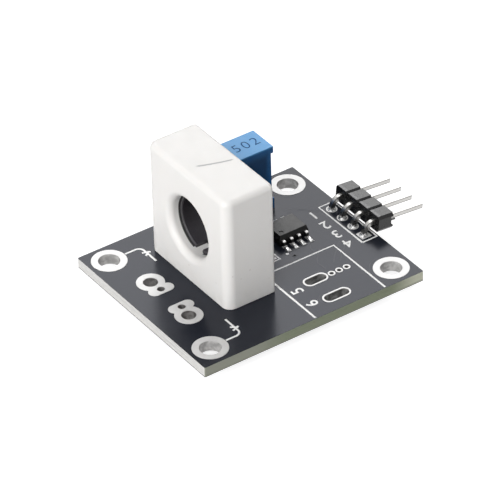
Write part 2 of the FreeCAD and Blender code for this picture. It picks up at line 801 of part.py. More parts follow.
def build():
    """Every node's name and its solids."""
    nodes = {"circuit_board": [circuit_board()]}
    for k, (x, y) in enumerate(mount_places(), 1):
        nodes["mounting_ring_%d" % k] = [ring(x, y, mount_hole_r, mount_ring_r)]
    nodes["lead_pad_1"] = [lead_pad(1)]
    nodes["lead_pad_2"] = [lead_pad(-1)]
    for k, (x, y) in enumerate(slot_ends, 1):
        nodes["slot_ring_%d" % k] = [slot_ring_piece(x, y)]
    nodes["spare_hole_rings"] = [ring(x, y, spare_hole_r, spare_ring_r) for x, y in spare_places()]

    nodes["sensor_housing"] = [sensor_housing()]
    nodes["toroid_core"] = [toroid_core()]
    nodes["sensor_potting"] = [potting()]
    nodes["hall_device"] = [hall_device()]
    hall_leads = [hall_lead(x, y) for x, y in hall_lead_places()]
    for k, lead in enumerate(hall_leads, 1):
        nodes["hall_lead_%d" % k] = [lead]
    nodes["hall_pads"] = [ring(x, y, hall_hole_r, hall_pad_r) for x, y in hall_lead_places()]
    lead_r = math.hypot(hall_lead_width, hall_lead_thickness) / 2
    nodes["hall_solder"] = soldered(hall_lead_places(), hall_hole_r, hall_pad_r, lead_r, hall_leads)

    nodes["trimmer_case"] = [trimmer_case()]
    nodes["trimmer_base"] = [trimmer_base()]
    nodes["adjusting_screw"] = [adjusting_screw()]
    nodes["screw_seal"] = [seal_ring(0)]
    nodes["trimmer_rotor"] = [rotor()]
    nodes["trimmer_wiper"] = [wiper()]
    nodes["resistive_plate"] = [resistive_plate()]
    trimmer_pins = [trimmer_pin(x, y) for x, y in trimmer_pin_places()]
    for k, pin in enumerate(trimmer_pins, 1):
        nodes["trimmer_pin_%d" % k] = [pin]
    nodes["trimmer_pads"] = [ring(x, y, trimmer_hole_r, trimmer_pad_r) for x, y in trimmer_pin_places()]
    nodes["trimmer_solder"] = soldered(trimmer_pin_places(), trimmer_hole_r, trimmer_pad_r, trimmer_pin_r,
                                       trimmer_pins)

    nodes["chip_body"] = [chip_body()]
    for side, first in ((-1, 1), (1, 5)):
        for index in range(chip_lead_count):
            nodes["chip_lead_%d" % (first + index)] = [chip_lead(index, side)]
    nodes["chip_pads"] = chip_pads()

    caps = []
    pads = []
    for k, (x, y) in enumerate(resistor_places, 1):
        nodes["resistor_%d" % k] = [small_body(x, y, resistor_height, False)]
        caps += small_caps(x, y, resistor_height, False)
        pads += small_pads(x, y, False)
    nodes["capacitor"] = [small_body(capacitor_x, capacitor_y, capacitor_height, True)]
    nodes["small_part_caps"] = caps + small_caps(capacitor_x, capacitor_y, capacitor_height, True)
    nodes["small_part_pads"] = pads + small_pads(capacitor_x, capacitor_y, True)

    nodes["header_block"] = [header_block()]
    header_pin_solids = [header_pin(x, y) for x, y in header_pin_places()]
    for k, pin in enumerate(header_pin_solids, 1):
        nodes["header_pin_%d" % k] = [pin]
    nodes["header_pads"] = header_pads()
    corner_r = math.hypot(header_pin_size, header_pin_size) / 2
    nodes["header_solder"] = soldered(header_pin_places(), header_hole_r, header_pad_r, corner_r,
                                      header_pin_solids)
    return nodes


os.makedirs("parts", exist_ok=True)
for name, solids in build().items():
    shape = solids[0] if len(solids) == 1 else Part.makeCompound(solids)
    shape.exportStep("parts/" + name + ".step")
    print(name, len(shape.Solids), round(shape.Volume, 3), shape.isValid())
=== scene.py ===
import json
import math

import bmesh
import bpy
from mathutils import Matrix, Vector


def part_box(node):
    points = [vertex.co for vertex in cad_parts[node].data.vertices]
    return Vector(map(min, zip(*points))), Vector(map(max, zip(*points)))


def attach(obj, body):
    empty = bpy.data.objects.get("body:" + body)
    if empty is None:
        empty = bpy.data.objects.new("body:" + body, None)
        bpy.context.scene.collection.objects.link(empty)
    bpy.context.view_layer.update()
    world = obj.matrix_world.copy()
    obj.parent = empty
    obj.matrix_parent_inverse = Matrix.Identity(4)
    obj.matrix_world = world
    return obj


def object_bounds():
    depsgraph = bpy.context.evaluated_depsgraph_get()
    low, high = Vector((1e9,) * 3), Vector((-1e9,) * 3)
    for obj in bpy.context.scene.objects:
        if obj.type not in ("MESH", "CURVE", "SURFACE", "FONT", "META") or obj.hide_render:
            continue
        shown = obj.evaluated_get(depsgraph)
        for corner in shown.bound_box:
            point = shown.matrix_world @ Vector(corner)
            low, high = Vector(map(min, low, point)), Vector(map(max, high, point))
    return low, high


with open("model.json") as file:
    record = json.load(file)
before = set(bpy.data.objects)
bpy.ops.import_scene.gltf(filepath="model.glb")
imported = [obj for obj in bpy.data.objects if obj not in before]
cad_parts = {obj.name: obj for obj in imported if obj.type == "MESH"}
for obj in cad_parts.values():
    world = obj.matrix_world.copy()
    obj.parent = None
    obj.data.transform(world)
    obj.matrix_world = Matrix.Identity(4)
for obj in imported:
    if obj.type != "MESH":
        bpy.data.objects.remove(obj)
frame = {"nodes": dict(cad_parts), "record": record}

# The module's looks: the board's solder mask, its printing and copper, the moulded sensor block,
# the blue trimmer, the chip and the pin header. Lengths are written in millimetres, and the floor
# and the lamps are in metres.
mm = 0.001
nodes = frame["nodes"]
cad_low, cad_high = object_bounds()

board_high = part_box("circuit_board")[1]
top = board_high.z / mm
housing_low, housing_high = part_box("sensor_housing")
trimmer_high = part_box("trimmer_case")[1]
header_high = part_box("header_block")[1]
core_low, core_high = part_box("toroid_core")
core_y = (core_low.y + core_high.y) / 2 / mm
core_z = (core_low.z + core_high.z) / 2 / mm
core_bore_r = 4.0

# Places on the board
mount_x = 15.1
mount_y = 12.3
slot_start_x = 4.3
slot_middles_y = (-8.25, -12.8)
header_row_x = 16.65
header_pitch = 2.54
header_pins = 4
chip_x = 8.1
chip_y = 2.8
chip_pitch = 1.27
chip_leads_a_side = 4
chip_pad_end = 3.63

# Printing and tracks: widths, heights, radii and how deep the ridges are sunk in the mask
silk_width = 0.32
silk_height = 0.02
numeral_size = 2.5
track_width = 0.42
track_height = 0.050
track_sunk = 0.041
rim_width = 0.30
rim_height = 0.040
rim_sunk = 0.033
mount_rim_r = 3.05
slot_rim_r = 1.45

# The mask is a little bluish where it shines
mask_ior = 1.315
mask_tint = (0.90, 0.915, 1.0, 1)

# The surround: its light on matt surfaces, its walls and sky as glossy surfaces show them, and the
# glow that makes the floor white
world_fill = 0.09
wall_in_gloss = 0.30
sky_in_gloss = 0.90
floor_glow = 0.84


# Camera

def make_camera():
    """The photograph's long view, a little rolled, from the sensor block's open front."""
    azimuth = math.radians(-34.03)
    elevation = math.radians(36.20)
    roll = math.radians(-1.616)
    distance = 628.78
    sensor_width = 36
    picture_width = 500
    pixels_per_mm = 7.2628
    middle_x = 249.88
    middle_y = 264.47
    off_x = (middle_x - picture_width / 2) / pixels_per_mm
    off_y = (middle_y - picture_width / 2) / pixels_per_mm
    back = Vector((math.sin(azimuth) * math.cos(elevation), -math.cos(azimuth) * math.cos(elevation),
                   math.sin(elevation)))
    level_right = Vector((math.cos(azimuth), math.sin(azimuth), 0))
    level_up = back.cross(level_right)
    right = level_right * math.cos(roll) + level_up * math.sin(roll)
    up = level_up * math.cos(roll) - level_right * math.sin(roll)
    place = Vector((0, 0, top)) + back * distance - right * off_x + up * off_y
    data = bpy.data.cameras.new("camera")
    data.sensor_width = sensor_width
    data.lens = sensor_width * pixels_per_mm * distance / picture_width
    data.clip_start = 0.05
    data.clip_end = 5
    camera = bpy.data.objects.new("camera", data)
    bpy.context.scene.collection.objects.link(camera)
    turn = Matrix((right, up, back)).transposed().to_4x4()
    camera.matrix_world = Matrix.Translation(place * mm) @ turn
    bpy.context.scene.camera = camera


# Material helpers

def grey(value):
    """A colour with no hue."""
    return (value, value, value)


class Nodes:
    """A node tree, with short calls for the nodes that the finishes and the surround share."""

    def __init__(self, tree):
        self.tree = tree

    def add(self, kind, **options):
        """A new node of a kind, with its options set."""
        made = self.tree.nodes.new(kind)
        for key, value in options.items():
            setattr(made, key, value)
        return made

    def set(self, made, socket, value):
        """Puts a number, a colour or another node's output into a socket."""
        if isinstance(value, bpy.types.NodeSocket):
            self.tree.links.new(value, made.inputs[socket])
        else:
            made.inputs[socket].default_value = value

    def maths(self, operation, a, b=0.0, c=0.0):
        """What an operation gives for up to three numbers or outputs."""
        made = self.add("ShaderNodeMath", operation=operation)
        for index, value in enumerate((a, b, c)):
            self.set(made, index, value)
        return made.outputs[0]

    def plus(self, a, b):
        return self.maths("ADD", a, b)

    def minus(self, a, b):
        return self.maths("SUBTRACT", a, b)

    def times(self, a, b):
        return self.maths("MULTIPLY", a, b)

    def larger(self, a, b):
        return self.maths("MAXIMUM", a, b)

    def above(self, value, limit):
        """1 where a value is over a limit and 0 elsewhere."""
        return self.maths("GREATER_THAN", value, limit)

    def below(self, value, limit):
        """1 where a value is under a limit and 0 elsewhere."""
        return self.maths("LESS_THAN", value, limit)

    def remap(self, value, low, high, to_low, to_high, kind="SMOOTHSTEP"):
        """A value carried from one range to another and held at its ends."""
        made = self.add("ShaderNodeMapRange", interpolation_type=kind)
        self.set(made, "Value", value)
        self.set(made, "From Min", low)
        self.set(made, "From Max", high)
        self.set(made, "To Min", to_low)
        self.set(made, "To Max", to_high)
        return made.outputs["Result"]

    def ramp(self, value, start, end, most=1):
        """A soft rise from 0 at the start to the most at the end, which may lie on either side."""
        return self.remap(value, start, end, 0, most)


class Finish(Nodes):
    """One material, with its patterns in millimetres on the object's own coordinates."""

    def __init__(self, name, colour, roughness, metallic=0.0, ior=1.5):
        self.material = bpy.data.materials.new(name)
        self.material.use_nodes = True
        super().__init__(self.material.node_tree)
        self.shader = self.tree.nodes["Principled BSDF"]
        self.set(self.shader, "Base Color", (*colour, 1))
        self.set(self.shader, "Roughness", roughness)
        self.set(self.shader, "Metallic", metallic)
        self.set(self.shader, "IOR", ior)
        self.object_point = self.add("ShaderNodeTexCoord").outputs["Object"]

    def axis(self, letter):
        """An object coordinate in millimetres."""
        split = self.add("ShaderNodeSeparateXYZ")
        self.set(split, "Vector", self.object_point)
        return self.maths("DIVIDE", split.outputs[letter], mm)

    def noise(self, scale, detail=3.0, rough=0.55, distortion=0.0, stretch=(1, 1, 1)):
        """Cloudy noise, with its scale in cells per millimetre, scaled further on each axis."""
        mapping = self.add("ShaderNodeMapping")
        self.set(mapping, "Vector", self.object_point)
        self.set(mapping, "Scale", [scale * s / mm for s in stretch])
        made = self.add("ShaderNodeTexNoise")
        self.set(made, "Vector", mapping.outputs["Vector"])
        self.set(made, "Scale", 1.0)
        self.set(made, "Detail", detail)
        self.set(made, "Roughness", rough)
        self.set(made, "Distortion", distortion)
        return made.outputs["Fac"]

    def mix(self, factor, a, b):
        """A colour between two colours."""
        made = self.add("ShaderNodeMix", data_type="RGBA")
        self.set(made, 0, factor)
        self.set(made, 6, a if isinstance(a, bpy.types.NodeSocket) else (*a, 1))
        self.set(made, 7, b if isinstance(b, bpy.types.NodeSocket) else (*b, 1))
        return made.outputs[2]

    def square_off(self, a, place_a, b, place_b):
        """The square of the distance from a place, from two coordinates."""
        off_a = self.minus(a, place_a)
        off_b = self.minus(b, place_b)
        return self.plus(self.times(off_a, off_a), self.times(off_b, off_b))

    def spot(self, a, b, place_a, place_b, r):
        """1 inside a soft-edged spot, from two coordinates in millimetres."""
        return self.ramp(self.square_off(a, place_a, b, place_b), (r * 1.4) ** 2, (r * 0.5) ** 2)

    def core_reach(self):
        """The distance from the core's axis, in millimetres."""
        return self.maths("SQRT", self.square_off(self.axis("Y"), core_y, self.axis("Z"), core_z))

    def corners(self, r):
        """1 along the corners of a shape and 0 on its flats, for a corner radius in millimetres."""
        soft = self.add("ShaderNodeBevel", samples=8)
        self.set(soft, "Radius", r * mm)
        across = self.add("ShaderNodeVectorMath", operation="DOT_PRODUCT")
        self.set(across, 0, soft.outputs["Normal"])
        self.set(across, 1, self.add("ShaderNodeNewGeometry").outputs["True Normal"])
        return self.ramp(across.outputs["Value"], 0.99, 0.86)

    def colour(self, value):
        """A pattern of colours in place of the flat one."""
        self.set(self.shader, "Base Color", value)

    def roughness(self, value):
        """A pattern of roughness in place of the even one."""
        self.set(self.shader, "Roughness", value)

    def cloudy_roughness(self, cloud, low, high):
        """Roughness that follows a cloudy noise between two values."""
        self.roughness(self.remap(cloud, 0.3, 0.7, low, high))

    def relief(self, height, depth, edge_r=0.0):
        """Bumps of a depth in millimetres, over edges that are rounded to a radius."""
        bump = self.add("ShaderNodeBump")
        self.set(bump, "Strength", 1.0)
        self.set(bump, "Distance", depth * mm)
        self.set(bump, "Height", height)
        if edge_r:
            soft = self.add("ShaderNodeBevel", samples=6)
            self.set(soft, "Radius", edge_r * mm)
            self.set(bump, "Normal", soft.outputs["Normal"])
        self.set(self.shader, "Normal", bump.outputs["Normal"])


# Finishes

def board_finish():
    """Dark grey solder mask on both faces over a pale glass laminate that shows at the edges."""
    f = Finish("board_mask", (0.015, 0.017, 0.025), 0.2, ior=mask_ior)
    f.set(f.shader, "Specular Tint", mask_tint)
    x = f.axis("X")
    z = f.axis("Z")
    on_face = f.larger(f.above(z, top - 0.03), f.below(z, 0.07))
    cloud = f.noise(0.25, detail=4)
    mask = f.mix(cloud, (0.012, 0.014, 0.021), (0.018, 0.021, 0.030))
    # The two routed sides are greenish and smooth, paler towards their ends and darker at the foot
    weave = f.noise(2.2, detail=5, stretch=(0.25, 0.25, 6))
    smooth_side = f.mix(weave, (0.20, 0.23, 0.155), (0.33, 0.36, 0.26))
    smooth_side = f.mix(f.ramp(x, -4.0, -11.0), smooth_side, (0.36, 0.37, 0.31))
    smooth_side = f.mix(f.ramp(x, 12.5, 17.5), smooth_side, (0.66, 0.67, 0.54))
    smooth_side = f.mix(f.ramp(z, 0.45, 0.12, 0.6), smooth_side, (0.30, 0.32, 0.24))
    # The scored ends are pale and rough, with faint layers and a thin dark line at the bottom
    chips = f.noise(3.0, detail=5, stretch=(1, 0.4, 2.5))
    rough_end = f.mix(f.ramp(chips, 0.3, 0.75), (0.68, 0.67, 0.65), (0.80, 0.79, 0.77))
    layers = f.noise(1.0, detail=2, stretch=(0.06, 0.06, 4.5))
    rough_end = f.mix(f.ramp(layers, 0.52, 0.66, 0.5), rough_end, (0.46, 0.46, 0.45))
    rough_end = f.mix(f.ramp(z, 0.16, 0.10), rough_end, (0.22, 0.22, 0.21))
    at_end = f.above(f.maths("ABSOLUTE", x), board_high.x / mm - 0.01)
    laminate = f.mix(at_end, smooth_side, rough_end)
    f.colour(f.mix(on_face, laminate, mask))
    f.roughness(f.mix(on_face, grey(0.6), f.mix(cloud, grey(0.16), grey(0.26))))
    f.relief(f.plus(f.noise(1.6, detail=2), f.times(chips, f.minus(1.0, on_face))), 0.006)
    return f.material


def mask_ridge_finish():
    """The same mask where it runs over a copper track."""
    f = Finish("mask_over_copper", (0.022, 0.025, 0.033), 0.24, ior=mask_ior)
    f.set(f.shader, "Specular Tint", mask_tint)
    f.colour(f.mix(f.noise(0.6), (0.024, 0.026, 0.034), (0.036, 0.039, 0.048)))
    f.relief(f.noise(1.6, detail=2), 0.006)
    return f.material


def silk_finish():
    """White screen-printed ink."""
    f = Finish("silk_print", (0.93, 0.93, 0.92), 0.45)
    f.colour(f.mix(f.noise(5, detail=3), (0.91, 0.91, 0.90), (0.97, 0.97, 0.96)))
    f.relief(f.noise(12), 0.001)
    return f.material


def plating_finish(name, dark, light):
    """Levelled tin: bright and a little uneven on the faces, cloudy and mostly darker down the barrels,
    where the darkness is painted shade inside the holes.
    """
    f = Finish(name, (0.76, 0.755, 0.75), 0.3, metallic=0.45)
    z = f.axis("Z")
    inside = f.times(f.ramp(z, top + 0.03, top - 0.10), f.ramp(z, -0.03, 0.10))
    wave = f.noise(0.9, detail=2)
    face = f.mix(wave, (0.58, 0.575, 0.57), (0.66, 0.655, 0.65))
    cloud = f.noise(1.1, detail=3, rough=0.5, distortion=0.4)
    # Painted shade: the barrels take the darker colours, for the shade inside the holes
    barrel = f.mix(f.ramp(cloud, 0.35, 0.68), dark, light)
    f.colour(f.mix(inside, face, barrel))
    f.roughness(f.mix(inside, grey(0.48), grey(0.46)))
    face_bumps = f.mix(wave, grey(0), grey(0.25))
    barrel_bumps = f.mix(cloud, grey(0), grey(0.6))
    f.relief(f.mix(inside, face_bumps, barrel_bumps), 0.03)
    return f.material


def solder_finish(name, dark, light, grain=3.0):
    """Bright solder with the darker smears that flux leaves on it."""
    f = Finish(name, light, 0.25, metallic=1.0)
    f.colour(f.mix(f.ramp(f.noise(grain), 0.38, 0.62), dark, light))
    f.cloudy_roughness(f.noise(4), 0.18, 0.4)
    f.relief(f.noise(2.5, detail=3), 0.03)
    return f.material


def scratch_mask(f, x, y, z):
    """1 along the scratch that runs along X on the housing's top, bowed a little towards -Y."""
    start_x = -6.6
    end_x = -1.7
    along = f.remap(x, start_x, end_x, 0, 1, "LINEAR")
    bow = f.times(f.times(along, f.minus(1.0, along)), -0.45)
    line_y = f.plus(f.remap(along, 0, 1, 2.50, 0.87, "LINEAR"), bow)
    off = f.maths("ABSOLUTE", f.minus(y, line_y))
    half_width = f.remap(along, 0, 1, 0.16, 0.11, "LINEAR")
    line = f.minus(1.0, f.ramp(f.maths("DIVIDE", off, half_width), 0.45, 1.5))
    within = f.times(f.ramp(x, start_x - 0.2, start_x + 0.4), f.remap(x, end_x - 0.3, end_x + 0.2, 1, 0))
    on_top = f.above(z, housing_high.z / mm - 0.5)
    return f.times(f.times(line, within), on_top)


def painted_shade_round_window(f, x, y, z):
    """1 where shade is painted into the seam between the window and the core, all round but for the
    tongue.
    """
    core_front = core_low.x / mm
    seam = f.times(f.ramp(x, core_front - 0.31, core_front - 0.21), f.ramp(f.core_reach(), 4.75, 4.60))
    seam = f.times(seam, f.below(x, core_front + 0.2))
    beside_tongue = f.ramp(f.maths("ABSOLUTE", f.minus(y, core_y)), 1.0, 1.1)
    return f.times(seam, f.larger(beside_tongue, f.above(z, core_z)))


def housing_finish():
    """Satin white moulding with one dark scratch on top, a few specks, a patchy darkening towards the foot
    and painted shade in the seam round the window.
    """
    f = Finish("housing_white", (0.88, 0.865, 0.845), 0.42)
    cloud = f.noise(0.12, detail=3)
    base = f.mix(cloud, (0.865, 0.850, 0.828), (0.905, 0.890, 0.870))
    x = f.axis("X")
    y = f.axis("Y")
    z = f.axis("Z")
    scratch = scratch_mask(f, x, y, z)
    base = f.mix(f.times(scratch, 0.85), base, (0.33, 0.33, 0.34))
    on_side = f.below(y, housing_low.y / mm + 0.3)
    on_front = f.below(x, housing_low.x / mm + 0.3)
    # Each speck's place along its face, its height and its radius
    side_specks = ((-7.74, 7.22, 0.10), (-6.44, 6.31, 0.08), (-4.93, 7.16, 0.11), (-1.85, 4.44, 0.08))
    front_specks = ((1.92, 4.24, 0.11), (-4.62, 5.07, 0.09), (2.84, 9.45, 0.07))
    for across, on_face, specks in ((x, on_side, side_specks), (y, on_front, front_specks)):
        for place, height, r in specks:
            speck = f.times(f.spot(across, z, place, height, r), on_face)
            base = f.mix(f.times(speck, 0.3), base, (0.40, 0.35, 0.32))
    # A patchy darkening towards the foot
    foot_darkening = f.times(f.ramp(z, top + 3.4, top), f.ramp(f.noise(0.7), 0.3, 0.75))
    base = f.mix(f.times(foot_darkening, 0.22), base, (0.60, 0.59, 0.56))
    # Painted shade: the window's wall is painted near-black in the seam next to the core
    f.colour(f.mix(painted_shade_round_window(f, x, y, z), base, grey(0.05)))
    f.cloudy_roughness(f.noise(0.8), 0.36, 0.5)
    f.set(f.shader, "Subsurface Weight", 0.12)
    f.set(f.shader, "Subsurface Radius", (1.0, 0.9, 0.8))
    f.set(f.shader, "Subsurface Scale", 0.4 * mm)
    f.relief(f.minus(f.noise(1.4, detail=4), f.times(scratch, 3.0)), 0.012)
    return f.material


def core_finish():
    """Dark coated ferrite, with painted light making it paler low down in the bore."""
    f = Finish("core_coating", (0.02, 0.018, 0.021), 0.45, ior=1.4)
    z = f.axis("Z")
    coat = f.mix(f.noise(3, detail=4), (0.012, 0.010, 0.012), (0.028, 0.025, 0.029))
    # Painted light: the bore's lower wall is painted paler
    coat = f.mix(f.ramp(z, core_z - 0.8, core_z - 4.2, 0.8), coat, (0.045, 0.042, 0.049))
    # The coat is paler in a thin line round the mouth of the bore, and least so at its bottom
    off = f.maths("ABSOLUTE", f.minus(f.core_reach(), core_bore_r + 0.20))
    pale_line = f.times(f.ramp(off, 0.09, 0.02, 0.8), f.remap(z, core_z - 3.4, core_z - 1.6, 0.25, 1))
    f.colour(f.mix(pale_line, coat, grey(0.14)))
    f.relief(f.noise(5, detail=4), 0.03)
    return f.material


def resin_finish(name, dark, light, roughness):
    """Cast resin with a soft, slightly wavy face."""
    f = Finish(name, light, roughness)
    f.colour(f.mix(f.noise(0.5, detail=4), dark, light))
    f.relief(f.noise(0.9, detail=2), 0.03)
    return f.material


def package_finish():
    """Moulded epoxy with a fine matt grain, its sides painted blacker than its top as painted shade."""
    f = Finish("package_black", (0.02, 0.02, 0.021), 0.38, ior=1.45)
    face = f.mix(f.noise(9, detail=4), (0.010, 0.010, 0.011), (0.030, 0.029, 0.028))
    # Painted shade: the sides are painted blacker than the top
    side = f.ramp(f.axis("Z"), top + 1.64, top + 1.55)
    f.colour(f.mix(side, face, grey(0.004)))
    f.cloudy_roughness(f.noise(6), 0.32, 0.5)
    f.relief(f.noise(14, detail=2), 0.01, edge_r=0.06)
    return f.material


def leads_finish():
    """Tinned metal with drawn lines along it."""
    f = Finish("tinned_leads", (0.62, 0.61, 0.59), 0.3, metallic=1.0)
    drawn = f.noise(3.0, detail=3, stretch=(0.15, 1, 1))
    f.colour(f.mix(drawn, (0.62, 0.61, 0.59), (0.86, 0.85, 0.83)))
    f.cloudy_roughness(drawn, 0.24, 0.4)
    f.relief(drawn, 0.01, edge_r=0.05)
    return f.material


def chip_lead_finish():
    """Bright plating on the chip's shoulders and feet, painted nearly black where the leads bend down as
    painted shade.
    """
    f = Finish("chip_lead_tin", (0.80, 0.79, 0.78), 0.3, metallic=1.0)
    z = f.axis("Z")
    bend = f.times(f.ramp(z, top + 0.92, top + 0.78), f.ramp(z, top + 0.24, top + 0.36))
    tin = f.mix(f.noise(5.0), (0.70, 0.69, 0.68), (0.90, 0.89, 0.88))
    # Painted shade on the bent part of each lead
    f.colour(f.mix(bend, tin, grey(0.07)))
    f.relief(f.noise(6.0), 0.01, edge_r=0.05)
    return f.material


def header_pin_finish():
    """Drawn wire, with painted shade along its corners and down the bent legs."""
    f = Finish("header_wire", (0.55, 0.545, 0.53), 0.3, metallic=1.0)
    drawn = f.noise(3.0, detail=3, stretch=(0.15, 1, 1))
    wire = f.mix(drawn, (0.46, 0.45, 0.435), (0.62, 0.61, 0.59))
    # Painted shade along the wire's corners
    wire = f.mix(f.times(f.corners(0.30), 0.85), wire, grey(0.06))
    # Painted shade down the bent legs between the board and the block
    shaded_leg = f.times(f.ramp(f.axis("Z"), top + 1.7, top + 0.9), f.below(f.axis("X"), header_row_x + 0.55))
    f.colour(f.mix(f.times(shaded_leg, 0.75), wire, grey(0.10)))
    f.cloudy_roughness(drawn, 0.24, 0.38)
    f.relief(drawn, 0.01, edge_r=0.06)
    return f.material


def blue_finish():
    """Glass-filled nylon, its top the plain blue and its walls painted a much deeper blue as painted
    shade, with a painted glow under the top edge and along the free end.
    """
    f = Finish("trimmer_blue", (0.09, 0.39, 0.80), 0.34, ior=1.42)
    x = f.axis("X")
    z = f.axis("Z")
    case_top = trimmer_high.z / mm
    case_end = trimmer_high.x / mm
    cloud = f.noise(0.5, detail=3)
    face = f.mix(cloud, (0.085, 0.375, 0.77), (0.105, 0.41, 0.82))
    # The walls are painted dark as painted shade, and a painted glow lightens them just under the top and
    # along the free end
    painted_edge_glow = f.larger(f.ramp(z, case_top - 1.7, case_top - 0.3), f.ramp(x, case_end - 1.5, case_end - 0.5))
    wall = f.mix(painted_edge_glow, (0.006, 0.055, 0.165), (0.020, 0.150, 0.42))
    wall = f.mix(f.ramp(cloud, 0, 1, 0.25), wall, (0.03, 0.20, 0.50))
    side = f.ramp(z, case_top - 0.02, case_top - 0.35)
    f.colour(f.mix(side, face, wall))
    f.cloudy_roughness(f.noise(2), 0.28, 0.42)
    f.relief(f.noise(5, detail=3), 0.008, edge_r=0.10)
    return f.material


def header_finish():
    """Glossy black moulding, its tops painted grey as a painted sheen."""
    f = Finish("header_black", (0.006, 0.006, 0.007), 0.26, ior=1.5)
    header_top = header_high.z / mm
    side = f.mix(f.noise(4), grey(0.004), (0.007, 0.007, 0.008))
    top_sheen = f.mix(f.noise(0.8), (0.085, 0.085, 0.088), (0.125, 0.125, 0.130))
    # Painted sheen: the tops are painted grey
    f.colour(f.mix(f.ramp(f.axis("Z"), header_top - 0.06, header_top - 0.02), side, top_sheen))
    f.cloudy_roughness(f.noise(3), 0.22, 0.30)
    f.relief(f.noise(6, detail=3), 0.001)
    return f.material


def plain_finish(name, dark, light, roughness, metallic=0.0, grain=4.0, edge_r=0.05, ior=1.5):
    """A colour that wanders between two shades, with a fine grain and softened edges."""
    f = Finish(name, light, roughness, metallic=metallic, ior=ior)
    f.colour(f.mix(f.noise(grain, detail=3), dark, light))
    f.relief(f.noise(grain * 2), 0.01, edge_r=edge_r)
    return f.material


finishes = {
    "board": board_finish(),
    "plating": plating_finish("tin_plating", (0.34, 0.335, 0.33), (0.60, 0.59, 0.58)),
    "solder": solder_finish("solder", (0.60, 0.60, 0.59), (0.86, 0.86, 0.85)),
    "housing": housing_finish(),
    "ferrite": core_finish(),
    "potting": resin_finish("potting_resin", (0.60, 0.60, 0.57), (0.72, 0.72, 0.69), 0.3),
    "package": package_finish(),
    "leads": leads_finish(),
    "trimmer_blue": blue_finish(),
    "resin": resin_finish("trimmer_resin", (0.45, 0.40, 0.26), (0.60, 0.55, 0.38), 0.35),
    "brass": plain_finish("brass", (0.62, 0.44, 0.16), (0.80, 0.62, 0.28), 0.25, metallic=1.0, grain=3.0),
    "seal": plain_finish("seal_rubber", grey(0.02), grey(0.04), 0.6),
    "rotor": plain_finish("rotor_nylon", (0.70, 0.68, 0.60), (0.82, 0.80, 0.72), 0.45),
    "ceramic": plain_finish("ceramic_plate", (0.78, 0.78, 0.76), (0.88, 0.88, 0.86), 0.5),
    "header_plastic": header_finish(),
    "resistor": plain_finish("resistor_glaze", (0.010, 0.010, 0.012), (0.03, 0.03, 0.034), 0.3),
    "capacitor": plain_finish("capacitor_ceramic", (0.30, 0.20, 0.11), (0.42, 0.30, 0.18), 0.4),
}
silk = silk_finish()
ridge = mask_ridge_finish()
ink = plain_finish("trimmer_ink", (0.010, 0.075, 0.23), (0.016, 0.095, 0.29), 0.5, edge_r=0.0, ior=1.15)
# A black disc of painted shade stands for the via's open hole
painted_via_shade = plain_finish("painted_via_shade", grey(0.002), grey(0.004), 0.7, edge_r=0.0, ior=1.1)
smeared_solder = solder_finish("smeared_solder", grey(0.16), (0.90, 0.90, 0.89), grain=2.4)

# Nodes that look a little different from the rest of their material
# The lead holes and the slots get darker barrels still, as deeper painted shade inside them
lead_hole_tin = plating_finish("lead_hole_tin", (0.10, 0.095, 0.09), (0.26, 0.25, 0.245))
slot_tin = plating_finish("slot_tin", (0.08, 0.08, 0.078), (0.24, 0.24, 0.235))
chip_lead_tin = chip_lead_finish()
header_wire = header_pin_finish()
own_finish = {
    "lead_pad_1": lead_hole_tin,
    "lead_pad_2": lead_hole_tin,
    "slot_ring_1": slot_tin,
    "slot_ring_2": slot_tin,
    "spare_hole_rings": slot_tin,
}
for index in range(2 * chip_leads_a_side):
    own_finish["chip_lead_%d" % (index + 1)] = chip_lead_tin
for index in range(header_pins):
    own_finish["header_pin_%d" % (index + 1)] = header_wire

for subpart in frame["record"]["subparts"]:
    for slot in nodes[subpart["node"]].material_slots:
        slot.material = own_finish.get(subpart["node"], finishes[subpart["material_slot"]])


# Piece helpers

def place_mesh(name, mesh, finish, body="module"):
    """A finished mesh becomes a piece that rides on a body."""
    mesh.materials.clear()
    mesh.materials.append(finish)
    piece = bpy.data.objects.new(name, mesh)
    bpy.context.scene.collection.objects.link(piece)
    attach(piece, body)
    return piece


def mesh_of(curve):
    """A curve or text as a mesh of its own."""
    maker = bpy.data.objects.new("maker", curve)
    bpy.context.scene.collection.objects.link(maker)
    mesh = bpy.data.meshes.new_from_object(maker.evaluated_get(bpy.context.evaluated_depsgraph_get()))
    bpy.data.objects.remove(maker)
    return mesh


def mesh_from(name, made):
    """A mesh from the faces that were worked on, which are then freed."""
    mesh = bpy.data.meshes.new(name)
    made.to_mesh(mesh)
    made.free()
    return mesh


def smoothed(mesh, level_flat=False):
    """Smooth shading, apart from level faces where they are to stay flat."""
    for face in mesh.polygons:
        face.use_smooth = not level_flat or face.normal.z < 0.995
    return mesh


def joined(name, meshes, finish):
    """Several meshes as one piece."""
    made = bmesh.new()
    for mesh in meshes:
        made.from_mesh(mesh)
    return place_mesh(name, mesh_from(name, made), finish)


def put_in_order(made):
    """Sorts the faces by their corners, because a full spin leaves its last ones in no fixed order."""
    made.verts.index_update()
    count = len(made.verts)

    def corner_span(face):
        corners = [vert.index for vert in face.verts]
        return min(corners) * count + max(corners)

    made.faces.sort(key=corner_span)


